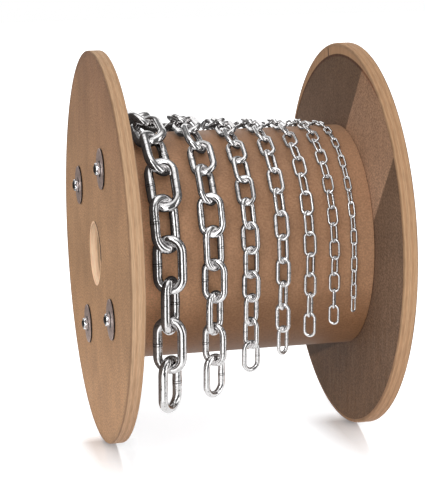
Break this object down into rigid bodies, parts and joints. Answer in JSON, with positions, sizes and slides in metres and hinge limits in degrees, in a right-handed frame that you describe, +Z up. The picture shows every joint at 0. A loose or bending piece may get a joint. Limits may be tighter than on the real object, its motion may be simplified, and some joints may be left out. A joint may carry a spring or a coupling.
{
  "type": "plywood reel with lengths of steel chain",
  "caption": "Round-flanged plywood reel standing on its rims, with short-link steel chains from thick to thin hung side by side over its barrel.",
  "frame": {"origin": "on the ground, midway between the flanges and under the reel's axis", "axes": "+X along the reel's axis from the thickest chain to the thinnest, +Y from the chains' front ends to the back, +Z up"},
  "size_m": [0.3166, 0.4354, 0.4355],
  "materials": {
    "plywood": "matt birch plywood, brown faces, paler layered edge",
    "hardboard": "smooth brown hardboard",
    "plated_steel": "zinc-plated steel, slightly dull",
    "chain_zinc": "bright zinc-plated steel wire"
  },
  "bodies": {
    "root": {"left_flange": "plywood", "right_flange": "plywood", "barrel": "hardboard", "tie_rod_1": "plated_steel", "tie_rod_2": "plated_steel", "tie_rod_3": "plated_steel", "tie_rod_4": "plated_steel", "washer_left_1": "plated_steel", "washer_left_2": "plated_steel", "washer_left_3": "plated_steel", "washer_left_4": "plated_steel", "washer_right_1": "plated_steel", "washer_right_2": "plated_steel", "washer_right_3": "plated_steel", "washer_right_4": "plated_steel", "nut_left_1": "plated_steel", "nut_left_2": "plated_steel", "nut_left_3": "plated_steel", "nut_left_4": "plated_steel", "nut_right_1": "plated_steel", "nut_right_2": "plated_steel", "nut_right_3": "plated_steel", "nut_right_4": "plated_steel", "chain_10mm": "chain_zinc", "chain_7mm": "chain_zinc", "chain_5mm": "chain_zinc", "chain_4mm": "chain_zinc", "chain_3mm": "chain_zinc", "chain_2_5mm": "chain_zinc", "chain_2mm": "chain_zinc"}
  },
  "joints": []
}
